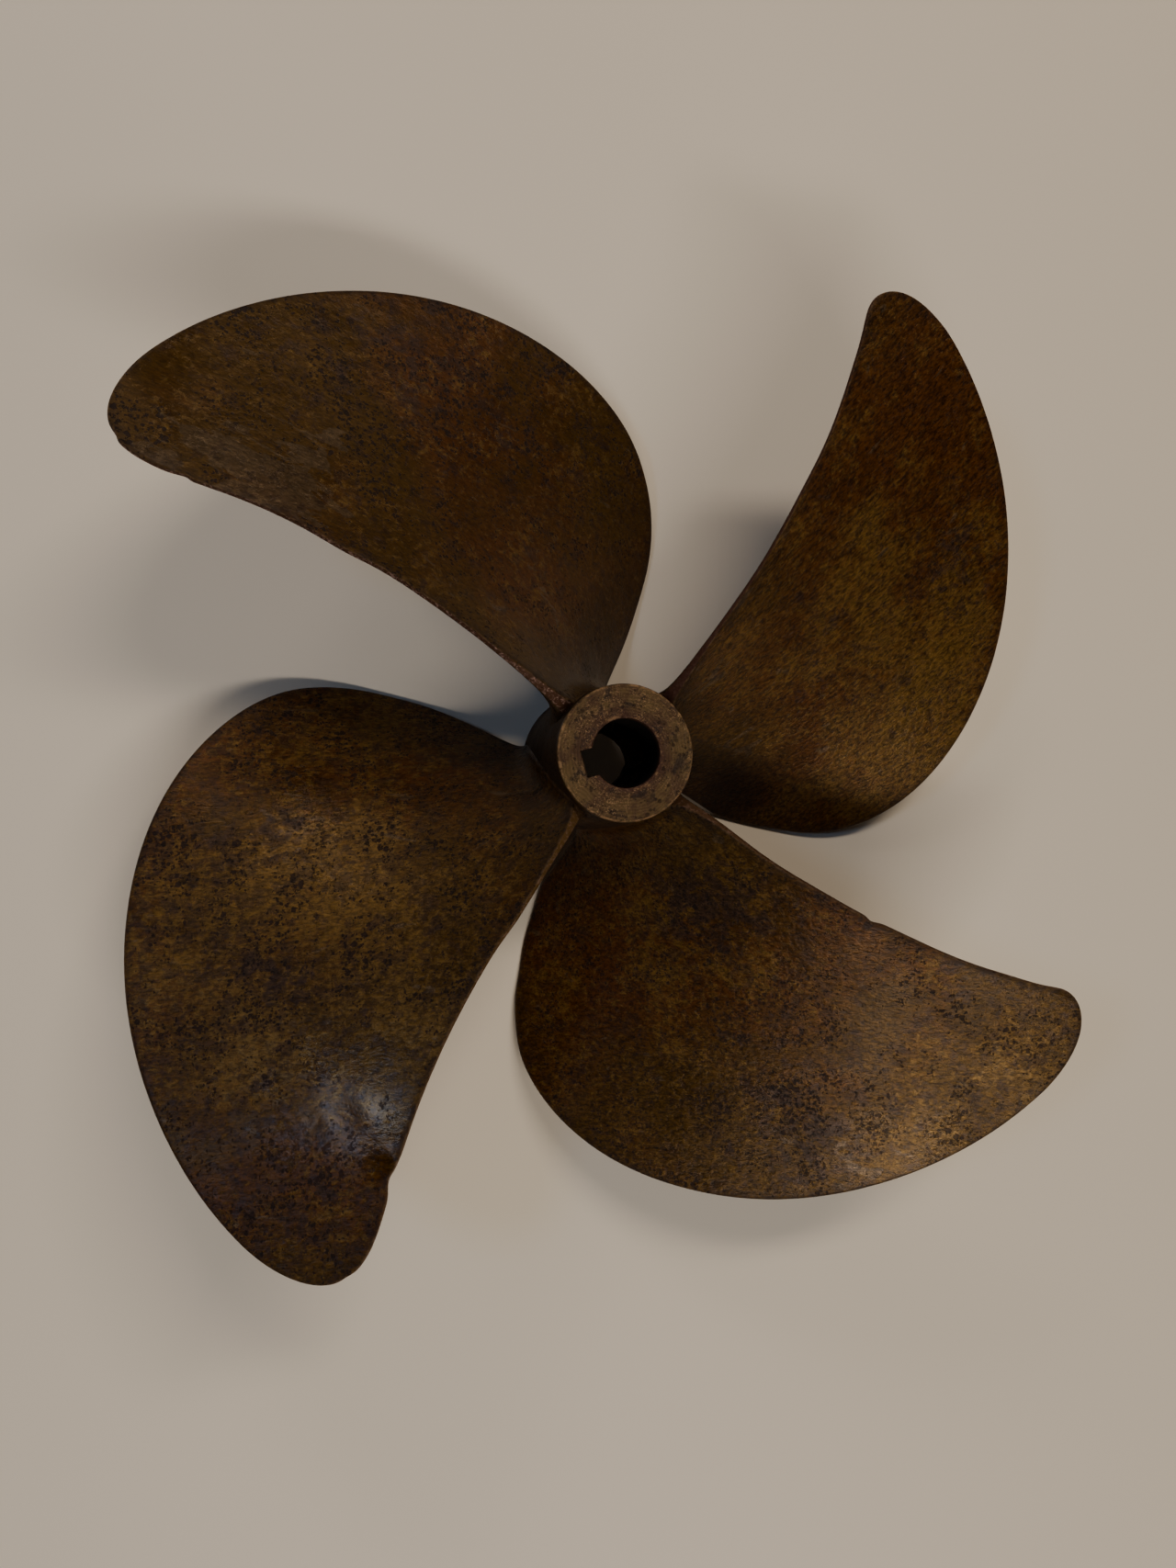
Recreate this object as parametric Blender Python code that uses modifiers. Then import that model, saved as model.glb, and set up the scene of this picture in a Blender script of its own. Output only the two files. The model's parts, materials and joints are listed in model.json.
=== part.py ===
"""Four-bladed ship propeller, a right-handed one-piece bronze casting with a keyed taper bore.

Metres, +Z up. Z is the shaft axis and points aft, the way the hub's small face looks. The
origin is on the axis, level with the lowest points of the blades, on which the casting rests.
Blade 1 has its root's middle over +X, and the keyway is cut on the same side.
"""
import math

import bmesh
import bpy
import numpy as np

# Driving dimensions: lengths in metres, angles in degrees

DIAMETER = 0.500
BLADE_COUNT = 4

HUB_LENGTH = 0.075
HUB_AFT_DIAMETER = 0.061
HUB_FORE_DIAMETER = 0.070
HUB_AFT_EDGE = 0.0008
HUB_FORE_EDGE = 0.003

SHAFT_DIAMETER = 0.038
SHAFT_TAPER = 0.1
BORE_EDGE = 0.0006
KEY_WIDTH = 0.012
KEYWAY_DEPTH = 0.0042

PITCH = 0.510
PITCH_LOSS_AT_ROOT = 0.20
FULL_PITCH_FROM = 0.6
REFERENCE_DROP = 0.042

BLADE_SPAN = 76.0
BLADE_SKEW = 36.0
SKEW_POWER = 3.4
OUTLINE_POWER = 3.7
OUTLINE_ROUNDNESS = 0.55
ROOT_NARROWING = 13.0
ROOT_NARROWING_REACH = 0.025

TIP_CORNER = 0.0032
TIP_CORNER_RADIUS = 0.228
TIP_CORNER_REACH = 0.013
WORN_BLADES = (1, 4)

NICKED_BLADE = 1
NICK_RADIUS = 0.198
NICK_DEPTH = 0.0030
NICK_LENGTH = 0.011

ROOT_THICKNESS = 0.0150
TIP_THICKNESS = 0.0032
LEADING_EDGE_THICKNESS = 0.0022
TRAILING_EDGE_THICKNESS = 0.0018
TRAILING_EDGE_ROOT_THICKNESS = 0.0064
TRAILING_EDGE_TAPER = 0.018
ROOT_FILLET = 0.009

# How finely the surfaces are stepped

HUB_STEPS = 64
CHORD_STEPS = 18
ROOT_ROWS = 8
OUTER_ROWS = 17
NICK_STEPS = 24

# Sizes that follow from the driving dimensions

TIP_RADIUS = DIAMETER / 2
HUB_AFT_RADIUS = HUB_AFT_DIAMETER / 2
HUB_FORE_RADIUS = HUB_FORE_DIAMETER / 2
BORE_FORE_RADIUS = SHAFT_DIAMETER / 2
BORE_AFT_RADIUS = BORE_FORE_RADIUS - SHAFT_TAPER * HUB_LENGTH / 2
HUB_ROOT_RADIUS = min(HUB_AFT_RADIUS, HUB_FORE_RADIUS)
BLADE_START_RADIUS = HUB_ROOT_RADIUS - 0.005
ROOT_ZONE_RADIUS = HUB_FORE_RADIUS + 1.5 * ROOT_FILLET


def hub_radius_at(height):
    """The hub's outer radius, for a height measured up from its fore face."""
    share = np.clip(height / HUB_LENGTH, 0.0, 1.0)
    return HUB_FORE_RADIUS + (HUB_AFT_RADIUS - HUB_FORE_RADIUS) * share


def section_pitch(radius):
    """The pitch at a radius: full outside, falling off as a parabola towards the root."""
    inner = np.clip(FULL_PITCH_FROM - radius / TIP_RADIUS, 0.0, None)
    root = FULL_PITCH_FROM - HUB_ROOT_RADIUS / TIP_RADIUS
    return PITCH * (1 - PITCH_LOSS_AT_ROOT * (inner / root) ** 2)


def section_limits(radius, corner):
    """The angles of the leading and the trailing edge at a radius, in radians.

    The blade spans equal angles either side of a line that sweeps back towards the tip. The
    corner is how far the trailing edge stands out beyond that close to the tip.
    """
    share = radius / TIP_RADIUS
    narrowing = ROOT_NARROWING * np.exp(-(radius - HUB_ROOT_RADIUS) / ROOT_NARROWING_REACH)
    half_span = BLADE_SPAN / 2 * np.clip(1 - share ** OUTLINE_POWER, 0.0, 1.0) ** OUTLINE_ROUNDNESS
    middle = BLADE_SKEW * share ** SKEW_POWER
    extra = corner * np.exp(-((radius - TIP_CORNER_RADIUS) / TIP_CORNER_REACH) ** 2) / radius
    return np.radians(middle - half_span + narrowing), np.radians(middle + half_span) + extra


def trailing_edge_thickness(radius):
    """The thickness of the blunt trailing edge, which grows towards the hub."""
    growth = np.exp(-(radius - HUB_ROOT_RADIUS) / TRAILING_EDGE_TAPER)
    return TRAILING_EDGE_THICKNESS + (TRAILING_EDGE_ROOT_THICKNESS - TRAILING_EDGE_THICKNESS) * growth


def section_thickness(radius, chord):
    """The blade's thickness at a radius and a share of the chord, 0 at the leading edge."""
    outward = (radius - HUB_ROOT_RADIUS) / (TIP_RADIUS - HUB_ROOT_RADIUS)
    most = ROOT_THICKNESS + (TIP_THICKNESS - ROOT_THICKNESS) * outward
    edge = LEADING_EDGE_THICKNESS + (trailing_edge_thickness(radius) - LEADING_EDGE_THICKNESS) * chord
    return edge + np.clip(most - edge, 0.0, None) * 4 * chord * (1 - chord)


def blade_rings(corner):
    """Closed sections of one blade, one row for each radius, as points (row, point, xyz).

    A section lies on a cylinder. Its pressure face follows the pitch helix and looks aft, and
    its back stands off by the thickness, square to the helix. Where the trailing edge thickens
    near the hub, the face gives way and the back stays on the blade's outline. There both
    sides also flare out along a quarter circle, which is the root fillet.
    """
    root = np.linspace(BLADE_START_RADIUS, ROOT_ZONE_RADIUS, ROOT_ROWS, endpoint=False)
    turn = np.linspace(0.0, math.pi / 2, OUTER_ROWS + 1)[:-1]
    outer = ROOT_ZONE_RADIUS + (TIP_RADIUS - ROOT_ZONE_RADIUS) * np.sin(turn)
    last = TIP_RADIUS * 0.9999
    radius = np.concatenate([root, outer, [last]])[:, None]

    angle = np.linspace(0.0, math.pi, CHORD_STEPS + 1)
    forward = (1 - np.cos(angle)) / 2
    chord = np.concatenate([forward, forward[-2:0:-1]])[None, :]
    side = np.zeros(2 * CHORD_STEPS)
    side[0] = side[CHORD_STEPS] = 0.5
    side[CHORD_STEPS + 1:] = 1.0

    leading, trailing = section_limits(radius, corner)
    helix = np.arctan2(section_pitch(radius), 2 * math.pi * radius)
    blunt = trailing_edge_thickness(radius) - TRAILING_EDGE_THICKNESS
    theta = leading + (trailing - blunt * np.sin(helix) / radius - leading) * chord
    height = HUB_LENGTH - REFERENCE_DROP + section_pitch(radius) / (2 * math.pi) * theta

    depth = np.clip((radius - hub_radius_at(height)) / ROOT_FILLET, 0.0, 1.0)
    flare = ROOT_FILLET * (1 - np.sqrt(1 - (1 - depth) ** 2)) * np.sqrt(4 * chord * (1 - chord))
    offset = section_thickness(radius, chord) * side + flare * (2 * side - 1)

    theta = theta + offset * np.sin(helix) / radius
    height = height - offset * np.cos(helix)
    return np.stack([radius * np.cos(theta), radius * np.sin(theta), height], axis=-1)


def bronze_material():
    """Old cast bronze, gone brown."""
    material = bpy.data.materials.new("cast_bronze")
    material.use_nodes = True
    shader = material.node_tree.nodes["Principled BSDF"]
    shader.inputs["Base Color"].default_value = (0.19, 0.105, 0.045, 1.0)
    shader.inputs["Metallic"].default_value = 0.85
    shader.inputs["Roughness"].default_value = 0.45
    return material


def new_object(name, mesh, collection, height=0.0, turn=0.0):
    """An object in a collection, at a height on the axis and turned about it."""
    item = bpy.data.objects.new(name, mesh)
    item.location.z = height
    item.rotation_euler.z = turn
    collection.objects.link(item)
    return item


def as_cutter(item):
    """Mark an object as a tool that shapes another and is no piece itself."""
    item.hide_render = True
    item.display_type = "WIRE"
    return item


def closed_mesh(name, vertices, faces):
    """A mesh with its faces turned outward."""
    mesh = bpy.data.meshes.new(name)
    mesh.from_pydata(vertices, [], faces)
    shape = bmesh.new()
    shape.from_mesh(mesh)
    bmesh.ops.recalc_face_normals(shape, faces=shape.faces)
    bmesh.ops.triangulate(shape, faces=shape.faces)
    shape.to_mesh(mesh)
    shape.free()
    return mesh


def blade_mesh(rings):
    """One blade: neighbouring sections joined by four-sided faces, and both ends closed."""
    rows, points, _ = rings.shape
    faces = [tuple(range(points)), tuple((rows - 1) * points + k for k in range(points))]
    for row in range(rows - 1):
        low, high = row * points, (row + 1) * points
        for k in range(points):
            following = (k + 1) % points
            faces.append((low + k, low + following, high + following, high + k))
    return closed_mesh("blade", rings.reshape(-1, 3).tolist(), faces)


def turned_mesh(name, profile):
    """The profile of a turned piece, listed from its top down its outer side."""
    mesh = bpy.data.meshes.new(name)
    edges = [(k, k + 1) for k in range(len(profile) - 1)]
    mesh.from_pydata([(radius, 0.0, height) for radius, height in profile], edges, [])
    return mesh


def turn_round(item):
    """Spin an object's profile once round its Z axis."""
    screw = item.modifiers.new("turned", "SCREW")
    screw.steps = screw.render_steps = HUB_STEPS
    screw.use_merge_vertices = True
    screw.merge_threshold = 0.00001
    return item


def hub_profile():
    """The hub's outside: two flat faces, a slightly flared flank and worn edges."""
    return [
        (0.0, HUB_LENGTH),
        (HUB_AFT_RADIUS - HUB_AFT_EDGE, HUB_LENGTH),
        (hub_radius_at(HUB_LENGTH - HUB_AFT_EDGE), HUB_LENGTH - HUB_AFT_EDGE),
        (hub_radius_at(HUB_FORE_EDGE), HUB_FORE_EDGE),
        (HUB_FORE_RADIUS - HUB_FORE_EDGE * 0.35, HUB_FORE_EDGE * 0.3),
        (HUB_FORE_RADIUS - HUB_FORE_EDGE, 0.0),
        (0.0, 0.0),
    ]


def bore_profile():
    """The space of the bore: a taper with a broken edge at each mouth, past both faces."""
    over = 0.002
    return [
        (0.0, HUB_LENGTH + over),
        (BORE_AFT_RADIUS + BORE_EDGE + over, HUB_LENGTH + over),
        (BORE_AFT_RADIUS, HUB_LENGTH - BORE_EDGE),
        (BORE_FORE_RADIUS, BORE_EDGE),
        (BORE_FORE_RADIUS + BORE_EDGE + over, -over),
        (0.0, -over),
    ]


def keyway_mesh():
    """The space of the keyway: a bar whose outer side follows the bore's taper."""
    over = 0.002
    slope = (BORE_FORE_RADIUS - BORE_AFT_RADIUS) / HUB_LENGTH
    half = KEY_WIDTH / 2
    top, bottom = HUB_LENGTH + over, -over
    outer_top = BORE_AFT_RADIUS + KEYWAY_DEPTH - slope * over
    outer_bottom = BORE_FORE_RADIUS + KEYWAY_DEPTH + slope * over
    shape = bmesh.new()
    bmesh.ops.create_cube(shape, size=1.0)
    for corner in shape.verts:
        outer = outer_top if corner.co.z > 0 else outer_bottom
        corner.co = (outer if corner.co.x > 0 else 0.0,
                     half if corner.co.y > 0 else -half,
                     top if corner.co.z > 0 else bottom)
    mesh = bpy.data.meshes.new("keyway")
    shape.to_mesh(mesh)
    shape.free()
    return mesh


def nick_mesh(depth):
    """The space of a nick: an upright cylinder whose side bites into an edge by its depth."""
    radius = (NICK_LENGTH ** 2 / 4 + NICK_DEPTH ** 2) / (2 * NICK_DEPTH)
    _, trailing = section_limits(NICK_RADIUS, 0.0)
    out = np.array([-math.sin(trailing), math.cos(trailing)])
    edge = NICK_RADIUS * np.array([math.cos(trailing), math.sin(trailing)])
    centre = edge + out * (radius - NICK_DEPTH)
    height = HUB_LENGTH - REFERENCE_DROP + section_pitch(NICK_RADIUS) / (2 * math.pi) * trailing
    shape = bmesh.new()
    bmesh.ops.create_cone(shape, cap_ends=True, segments=NICK_STEPS, radius1=radius, radius2=radius,
                          depth=depth)
    bmesh.ops.translate(shape, verts=shape.verts, vec=(centre[0], centre[1], height))
    mesh = bpy.data.meshes.new("nick")
    shape.to_mesh(mesh)
    shape.free()
    return mesh


def combine(item, tool, operation):
    """Join a tool to an object, or cut it away."""
    change = item.modifiers.new(tool.name, "BOOLEAN")
    change.operation = operation
    change.solver = "EXACT"
    change.object = tool


def main():
    for item in list(bpy.data.objects):
        bpy.data.objects.remove(item, do_unlink=True)
    part = bpy.data.collections.new("ship_propeller")
    tools = bpy.data.collections.new("cutters")
    bpy.context.scene.collection.children.link(part)
    bpy.context.scene.collection.children.link(tools)

    hub_height = -float(blade_rings(0.0)[..., 2].min())

    propeller = turn_round(new_object("propeller", turned_mesh("hub", hub_profile()), part, hub_height))
    for number in range(1, BLADE_COUNT + 1):
        turn = 2 * math.pi * (number - 1) / BLADE_COUNT
        rings = blade_rings(0.0 if number in WORN_BLADES else TIP_CORNER)
        blade = as_cutter(new_object(f"blade_{number}", blade_mesh(rings), tools, hub_height, turn))
        combine(propeller, blade, "UNION")
    bore = as_cutter(turn_round(new_object("bore", turned_mesh("bore", bore_profile()), tools, hub_height)))
    combine(propeller, bore, "DIFFERENCE")
    keyway = as_cutter(new_object("keyway", keyway_mesh(), tools, hub_height))
    combine(propeller, keyway, "DIFFERENCE")
    nick_turn = 2 * math.pi * (NICKED_BLADE - 1) / BLADE_COUNT
    nick = as_cutter(new_object("nick", nick_mesh(4 * NICK_LENGTH), tools, hub_height, nick_turn))
    combine(propeller, nick, "DIFFERENCE")
    propeller.data.materials.append(bronze_material())


main()
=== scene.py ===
# %% [markdown]
# # A ship propeller in old cast bronze
#
# The real object is one casting, about half a metre across: a short hub with a tapered bore and a
# keyway, and four broad blades that sweep back towards their tips. The bronze has gone brown with
# age, with golden patches, dark pits and a few knocks on its edges. The imported CAD model gives its
# true shape and size. This script makes the same shape again with finer surfaces, and then gives
# it the old metal's looks.
#
# The frame comes first. The CAD model stands on z = 0 with the shaft's axis on Z, pointing aft,
# and its box is kept, so that the blades' tops can be held under its top.

import json
import math

import bmesh
import bpy
import numpy as np
from mathutils import Matrix, Vector


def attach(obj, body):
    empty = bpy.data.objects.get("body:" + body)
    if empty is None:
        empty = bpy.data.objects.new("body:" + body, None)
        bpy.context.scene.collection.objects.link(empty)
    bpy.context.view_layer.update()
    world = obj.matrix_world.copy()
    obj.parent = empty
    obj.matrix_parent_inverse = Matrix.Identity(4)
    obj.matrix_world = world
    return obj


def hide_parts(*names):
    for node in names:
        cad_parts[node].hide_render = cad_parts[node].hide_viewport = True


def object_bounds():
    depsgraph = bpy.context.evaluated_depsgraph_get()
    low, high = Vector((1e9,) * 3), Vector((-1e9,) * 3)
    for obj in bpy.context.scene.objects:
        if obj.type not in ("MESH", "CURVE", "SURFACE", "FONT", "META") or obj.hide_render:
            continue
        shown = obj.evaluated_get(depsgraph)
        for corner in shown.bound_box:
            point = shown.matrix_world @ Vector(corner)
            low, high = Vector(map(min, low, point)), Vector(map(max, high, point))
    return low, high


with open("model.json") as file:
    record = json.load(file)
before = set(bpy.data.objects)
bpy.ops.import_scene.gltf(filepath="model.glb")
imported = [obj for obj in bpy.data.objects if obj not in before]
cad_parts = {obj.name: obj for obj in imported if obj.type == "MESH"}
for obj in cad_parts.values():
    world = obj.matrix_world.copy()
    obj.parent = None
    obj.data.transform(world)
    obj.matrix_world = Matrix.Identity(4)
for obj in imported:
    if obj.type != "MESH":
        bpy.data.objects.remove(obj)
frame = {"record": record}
cad_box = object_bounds()
print("CAD box in mm:", [round(1000 * value, 1) for corner in cad_box for value in corner])

# %% [markdown]
# ## The camera
#
# The picture was taken with a phone held over the propeller, looking down on the aft side of the
# hub. The camera's place and turn come from matching the outlines of all four blades. A wide lens
# close by is part of the look: the hub is nearer to it than the blades are, so it looks a little
# larger. Blender's camera looks along its own -Z axis, so this one, nearly straight above, needs
# only a small tilt and a turn about Z.

# %% Set the camera
CAMERA_PLACE = (0.11343, 0.00066, 0.51865)
CAMERA_TURN = (2.263, -12.132, 164.477)
LENS = 23.24
SENSOR_WIDTH = 36.0

camera_data = bpy.data.cameras.new("camera")
camera_data.lens = LENS
camera_data.sensor_width = SENSOR_WIDTH
camera = bpy.data.objects.new("camera", camera_data)
camera.location = CAMERA_PLACE
camera.rotation_euler = [math.radians(angle) for angle in CAMERA_TURN]
bpy.context.scene.collection.objects.link(camera)
bpy.context.scene.camera = camera
print("camera stands", round(CAMERA_PLACE[2], 3), "m over the floor")

# %% [markdown]
# ## The sizes
#
# Lengths are in metres and angles in degrees. The hub is a short drum that flares a little towards
# the front. Its bore narrows towards the aft face, so that a nut can draw the hub tight onto the
# shaft, and a key in the square keyway keeps it from turning there.

# %% Sizes of the hub
HUB_LENGTH = 0.075
HUB_AFT_RADIUS = 0.0305
HUB_FORE_RADIUS = 0.035
BORE_FORE_RADIUS = 0.019
BORE_AFT_RADIUS = 0.01525
KEY_HALF_WIDTH = 0.006
KEYWAY_DEPTH = 0.0042

aft_face = frame["record"]["mounts"][0]["pos_m"][2]
fore_face = aft_face - HUB_LENGTH
print("hub from", round(1000 * fore_face, 2), "to", round(1000 * aft_face, 2), "mm up")

# %% [markdown]
# A propeller is drawn from its pitch, the distance that it would screw forward in one turn. At
# every radius a blade's working face lies on a screw thread of that pitch, so height and angle go
# together.

# %% Sizes of the blades
TIP_RADIUS = 0.250
PITCH = 0.510
PITCH_LOSS_AT_ROOT = 0.20
FULL_PITCH_FROM = 0.6
REFERENCE_DROP = 0.042

BLADE_SPAN = 76.0
BLADE_SKEW = 36.0
SKEW_POWER = 3.4
OUTLINE_POWER = 3.7
OUTLINE_ROUNDNESS = 0.55
ROOT_NARROWING = 13.0
ROOT_NARROWING_REACH = 0.025

ROOT_THICKNESS = 0.0150
TIP_THICKNESS = 0.0032
LEADING_EDGE_THICKNESS = 0.0022
TRAILING_EDGE_THICKNESS = 0.0018
TRAILING_EDGE_ROOT_THICKNESS = 0.0064
TRAILING_EDGE_TAPER = 0.018
ROOT_FILLET = 0.009

blade_zero = aft_face - REFERENCE_DROP
print("blades measured from", round(1000 * blade_zero, 2), "mm up")

# %% [markdown]
# ## Noise for uneven surfaces
#
# A sand casting is never quite smooth: its surface wanders by a few tenths of a millimetre. A
# texture would move nothing in the finished mesh, so the wandering is worked out with numpy and
# added to the points themselves. The seed is fixed, so each run gives the same casting.

# %% Noise and smooth steps
SEED = 7
LATTICE = np.random.default_rng(SEED).uniform(-1.0, 1.0, (48, 48, 48))
LATTICE_START = 500.37
# (height, size of the lumps, shift of the lattice), in metres but for the shift
RELIEF = [(0.00028, 0.050, 3.1), (0.00013, 0.017, 11.7), (0.00005, 0.0060, 23.9)]


def noise(points, size, shift=0.0):
    """Smooth noise from -1 to 1: random values on a lattice of cubes of the given size, with
    each point's value blended from the eight corners of its cube."""
    place = points / size + LATTICE_START + shift
    cell = np.floor(place).astype(int)
    part = place - cell
    part = part * part * (3 - 2 * part)
    total = np.zeros(points.shape[:-1])
    for corner in np.ndindex(2, 2, 2):
        weight = np.prod(np.where(np.array(corner) == 1, part, 1 - part), axis=-1)
        index = (cell + np.array(corner)) % LATTICE.shape[0]
        total += weight * LATTICE[index[..., 0], index[..., 1], index[..., 2]]
    return total


def casting_relief(points):
    """How far the cast surface wanders outward, in metres: three sizes of noise added up."""
    return sum(height * noise(points, size, shift) for height, size, shift in RELIEF)


def smooth_step(value, low, high):
    """0 below low, 1 above high, and an S-shaped climb between them."""
    share = np.clip((value - low) / (high - low), 0.0, 1.0)
    return share * share * (3 - 2 * share)


def blended(first, last, share):
    """The first value at a share of 0, the last at 1, and a straight line between them."""
    return first + (last - first) * share


def bell(distance):
    """1 in the middle, and falling to nothing on both sides, as a bell does."""
    return np.exp(-distance ** 2)


print("relief in m:", [layer[0] for layer in RELIEF])

# %% [markdown]
# ## The lines of a blade
#
# Two laws draw a blade's outline: how far its middle sweeps back at each radius, and how many
# degrees it spans to either side. The real blades also differ a little, because each was ground by
# hand and has had its own knocks. Those differences are lists of marks on the edges. A mark is a
# bell-shaped bulge (or, below zero, a dent) at a radius, with one reach towards the hub and one
# towards the tip, so that a knock can have a steep side.

# %% Edge marks of each blade
# blade: edge: (radius, reach towards the hub, reach towards the tip, how far out), in millimetres
EDGE_MARKS = {
    "blade_1": {
        "trailing": [(198.5, 5.5, 4.2, -2.2), (236, 2.5, 3, -0.5), (204, 30, 16, -0.6),
                     (84, 20, 12, 0.9)],
        "leading": [(158, 22, 26, 2.3), (105, 18, 16, -0.8), (220, 16, 12, -1.0)],
    },
    "blade_2": {
        "trailing": [(228, 10, 13, 3.0), (150, 24, 24, 1.0), (80, 26, 22, -1.2),
                     (131.5, 2.6, 3.2, -1.1)],
        "leading": [(66, 14, 12, 1.8), (156, 16, 36, 2.0), (112, 12, 12, -1.1),
                    (212, 12, 12, -0.8)],
    },
    "blade_3": {
        "trailing": [(229, 12, 14, 3.2), (138, 26, 24, 1.2), (36, 14, 20, -1.0)],
        "leading": [(76, 10, 10, 0.9), (112, 16, 20, -1.5), (206, 22, 16, -1.1),
                    (249, 3, 3, -0.6)],
    },
    "blade_4": {
        "trailing": [(235.5, 1.6, 4.5, -1.0), (206.5, 1.8, 4.5, -0.9), (144, 12, 14, 1.2),
                     (186, 20, 14, -0.6)],
        "leading": [(92, 20, 22, -1.0), (176, 16, 18, 1.1), (214, 14, 12, -0.5)],
    },
}


def edge_marks(blade, edge, radius):
    """How far an edge stands out beyond the common outline at each radius, in metres."""
    out = np.zeros_like(radius)
    for centre, inward, outward, amount in EDGE_MARKS[blade][edge]:
        gap = 1000 * radius - centre
        out += amount / 1000 * bell(gap / np.where(gap < 0, inward, outward))
    return out


print("edge marks for:", list(EDGE_MARKS))

# %% Laws of the blade's shape
def hub_share(height):
    """How far up the hub a height is: 0 at the fore face and below, 1 at the aft face."""
    return np.clip((height - fore_face) / HUB_LENGTH, 0.0, 1.0)


def hub_radius_at(height):
    """The hub's outer radius at a height: a straight flare towards the front."""
    return blended(HUB_FORE_RADIUS, HUB_AFT_RADIUS, hub_share(height))


def section_pitch(radius):
    """The pitch at a radius: full outside, and less towards the hub along a parabola."""
    inner = np.clip(FULL_PITCH_FROM - radius / TIP_RADIUS, 0.0, None)
    root = FULL_PITCH_FROM - HUB_AFT_RADIUS / TIP_RADIUS
    return PITCH * (1 - PITCH_LOSS_AT_ROOT * (inner / root) ** 2)


def helix_angle(radius):
    """How steeply the screw climbs: the pitch over the way round the circle, as an angle."""
    return np.arctan2(section_pitch(radius), 2 * math.pi * radius)


def root_narrowing(radius):
    """How many degrees narrower a blade is near the hub, fading quickly outward."""
    return ROOT_NARROWING * np.exp(-(radius - HUB_AFT_RADIUS) / ROOT_NARROWING_REACH)


def middle_angle(radius):
    """The angle of the blade's middle line: a power of the radius, in radians."""
    sweep = BLADE_SKEW * (radius / TIP_RADIUS) ** SKEW_POWER
    return np.radians(sweep + root_narrowing(radius) / 2)


def half_span(radius):
    """The angle from the middle line to either edge: full inside, closing to 0 at the tip."""
    share = np.clip(1 - (radius / TIP_RADIUS) ** OUTLINE_POWER, 0.0, 1.0)
    return np.radians(BLADE_SPAN / 2 * share ** OUTLINE_ROUNDNESS - root_narrowing(radius) / 2)


def trailing_edge_thickness(radius):
    """The blunt edge's thickness: thin outside, and growing towards the hub."""
    growth = np.exp(-(radius - HUB_AFT_RADIUS) / TRAILING_EDGE_TAPER)
    return blended(TRAILING_EDGE_THICKNESS, TRAILING_EDGE_ROOT_THICKNESS, growth)


def greatest_thickness(radius):
    """The thickness on the middle line: a straight taper from the hub to the tip."""
    outward = (radius - HUB_AFT_RADIUS) / (TIP_RADIUS - HUB_AFT_RADIUS)
    return blended(ROOT_THICKNESS, TIP_THICKNESS, outward)


print("pitch at the hub in mm:", round(1000 * float(section_pitch(HUB_AFT_RADIUS)), 1))

# %% [markdown]
# ## One blade as a grid
#
# Sections from the hub to the tip would pinch together where the tip is round, so here the grid
# follows the rim. One direction runs along the outline, up the leading edge, over the tip and down
# the trailing edge. The other starts at the blade's middle line, goes out across the working face,
# turns round the rim and comes back across the other side. So the rim is a clean strip of its own,
# round and sharp on the leading edge, flat and square on the trailing edge.

# %% Columns along the outline
COLUMNS_SIDE = 250
BLADE_START_RADIUS = 0.0255
FAN_RADIUS = 0.190
ROOT_DENSITY = 0.35
ROOT_DENSITY_POWER = 6
TIP_SHARE = 0.04


def outline_places():
    """Places along the outline from -1 (root, leading edge) by 0 (tip) to 1 (root, trailing
    edge). They crowd towards the root, where the fillet needs short steps."""
    even = np.linspace(0.0, 1.0, COLUMNS_SIDE + 1)
    one_side = even * (1 + ROOT_DENSITY) - ROOT_DENSITY * even ** ROOT_DENSITY_POWER
    return np.concatenate([-one_side[:0:-1], one_side])


places = outline_places()[None, :]


def outline(blade):
    """For each column: radius and angle of its end on the rim, and of its start on the middle
    line, the rim's thickness, the length between the two, and a share from 0 on the leading edge
    to 1 on the trailing edge. The starts stop at the fan radius, so that the columns near the tip
    spread like a fan."""
    size = np.abs(places) ** (1 / OUTLINE_ROUNDNESS)
    edge_radius = blended(BLADE_START_RADIUS, TIP_RADIUS, 1 - size)
    line_radius = blended(BLADE_START_RADIUS, FAN_RADIUS, 1 - size)
    trailing = smooth_step(places, -TIP_SHARE, TIP_SHARE)
    marks = np.where(places < 0, -edge_marks(blade, "leading", edge_radius),
                     edge_marks(blade, "trailing", edge_radius)) * (1 - bell(places / TIP_SHARE))
    blunt = trailing_edge_thickness(edge_radius)
    inset = (blunt - TRAILING_EDGE_THICKNESS) * np.sin(helix_angle(edge_radius))
    edge_angle = (middle_angle(edge_radius) + np.sign(places) * half_span(edge_radius)
                  + (marks - np.where(places > 0, inset, 0.0)) / edge_radius)
    line_angle = middle_angle(line_radius)
    thickness = blended(LEADING_EDGE_THICKNESS, blunt, trailing)
    length = np.hypot(edge_radius * (edge_angle - line_angle), edge_radius - line_radius)
    return edge_radius, edge_angle, line_radius, line_angle, thickness, length, trailing


print("columns:", places.size)

# %% [markdown]
# The rows lie evenly over both faces. Round the rim they follow a half circle whose sine and
# cosine are raised to a power: 1 keeps it round, for the leading edge, and a half makes it nearly
# square, for the trailing edge.

# %% Rows over the face, the rim and the back
FACE_ROWS = 60
RIM_ROWS = 10
LEADING_NOSE, TRAILING_NOSE = 0.0016, 0.00045
LEADING_POWER, TRAILING_POWER = 1.0, 0.5


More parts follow.
